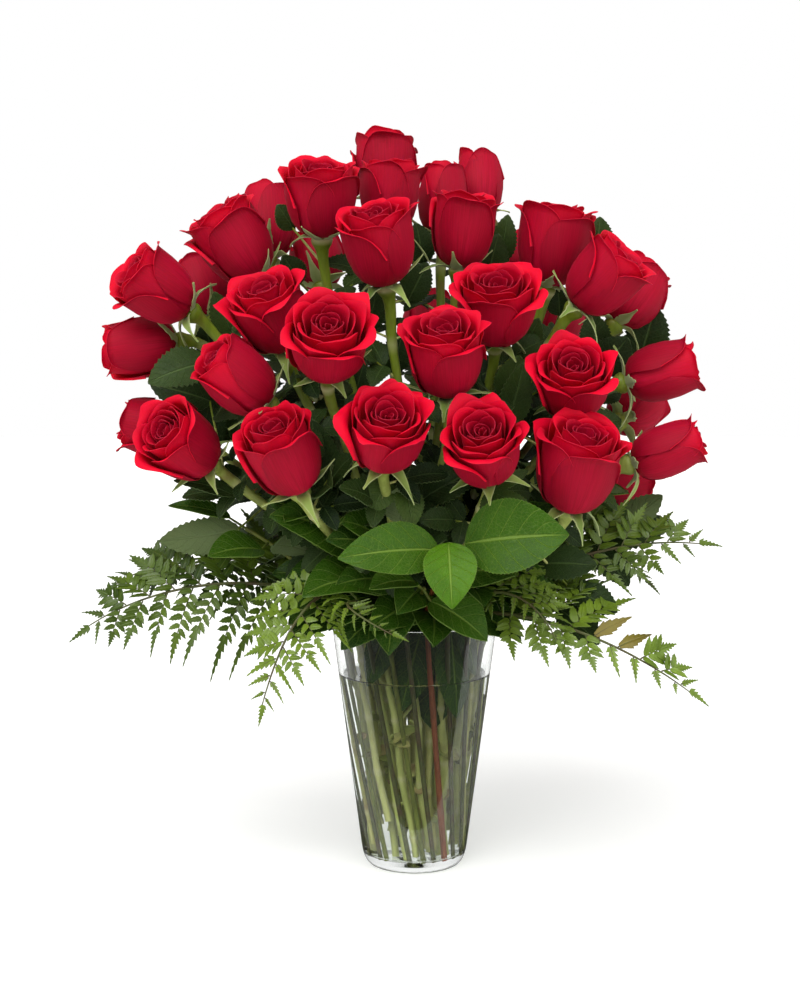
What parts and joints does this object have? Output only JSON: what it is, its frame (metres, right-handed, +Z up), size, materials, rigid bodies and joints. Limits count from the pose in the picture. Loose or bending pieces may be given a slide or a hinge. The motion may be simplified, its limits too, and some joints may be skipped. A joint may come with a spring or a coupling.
{
  "type": "roses in a vase",
  "caption": "Dome of long-stemmed red roses with fern and salal leaves, standing in a clear tapered glass vase of water.",
  "frame": {"origin": "on the vase's axis, at the middle of the flat face that the vase stands on", "axes": "+Z up along the vase's axis, -Y towards the viewer of the picture, so +X is the bouquet's right-hand side as seen there"},
  "size_m": [0.4722, 0.363, 0.5667],
  "materials": {
    "clear_glass": "clear polished soda-lime glass",
    "water": "clear still water",
    "rose_petal": "velvety red rose petals, crimson on their backs",
    "rose_stem": "smooth green rose stems, hips, sepals and toothed leaves",
    "fern_leaf": "satin green leatherleaf fern",
    "salal_leaf": "glossy green salal leaves on thin stems"
  },
  "bodies": {
    "root": {"bloom_01": "rose_petal", "bloom_02": "rose_petal", "bloom_03": "rose_petal", "bloom_04": "rose_petal", "bloom_05": "rose_petal", "bloom_06": "rose_petal", "bloom_07": "rose_petal", "bloom_08": "rose_petal", "bloom_09": "rose_petal", "bloom_10": "rose_petal", "bloom_11": "rose_petal", "bloom_12": "rose_petal", "bloom_13": "rose_petal", "bloom_14": "rose_petal", "bloom_15": "rose_petal", "bloom_16": "rose_petal", "bloom_17": "rose_petal", "bloom_18": "rose_petal", "bloom_19": "rose_petal", "bloom_20": "rose_petal", "bloom_21": "rose_petal", "bloom_22": "rose_petal", "bloom_23": "rose_petal", "bloom_24": "rose_petal", "bloom_25": "rose_petal", "bloom_26": "rose_petal", "bloom_27": "rose_petal", "bloom_28": "rose_petal", "bloom_29": "rose_petal", "bloom_30": "rose_petal", "bloom_31": "rose_petal", "bloom_32": "rose_petal", "bloom_33": "rose_petal", "bloom_34": "rose_petal", "bloom_35": "rose_petal", "bloom_36": "rose_petal", "fern_back": "fern_leaf", "fern_back_left": "fern_leaf", "fern_back_right": "fern_leaf", "fern_front": "fern_leaf", "fern_front_left": "fern_leaf", "fern_front_mid": "fern_leaf", "fern_front_right": "fern_leaf", "fern_left_front": "fern_leaf", "fern_left_rear": "fern_leaf", "fern_right": "fern_leaf", "salal_back": "salal_leaf", "salal_front": "salal_leaf", "salal_front_low": "salal_leaf", "salal_left": "salal_leaf", "salal_right": "salal_leaf", "stems_back_left": "rose_stem", "stems_back_right": "rose_stem", "stems_front_left": "rose_stem", "stems_front_right": "rose_stem", "stems_left": "rose_stem", "stems_middle": "rose_stem", "stems_right": "rose_stem", "vase": "clear_glass", "water": "water"}
  },
  "joints": []
}
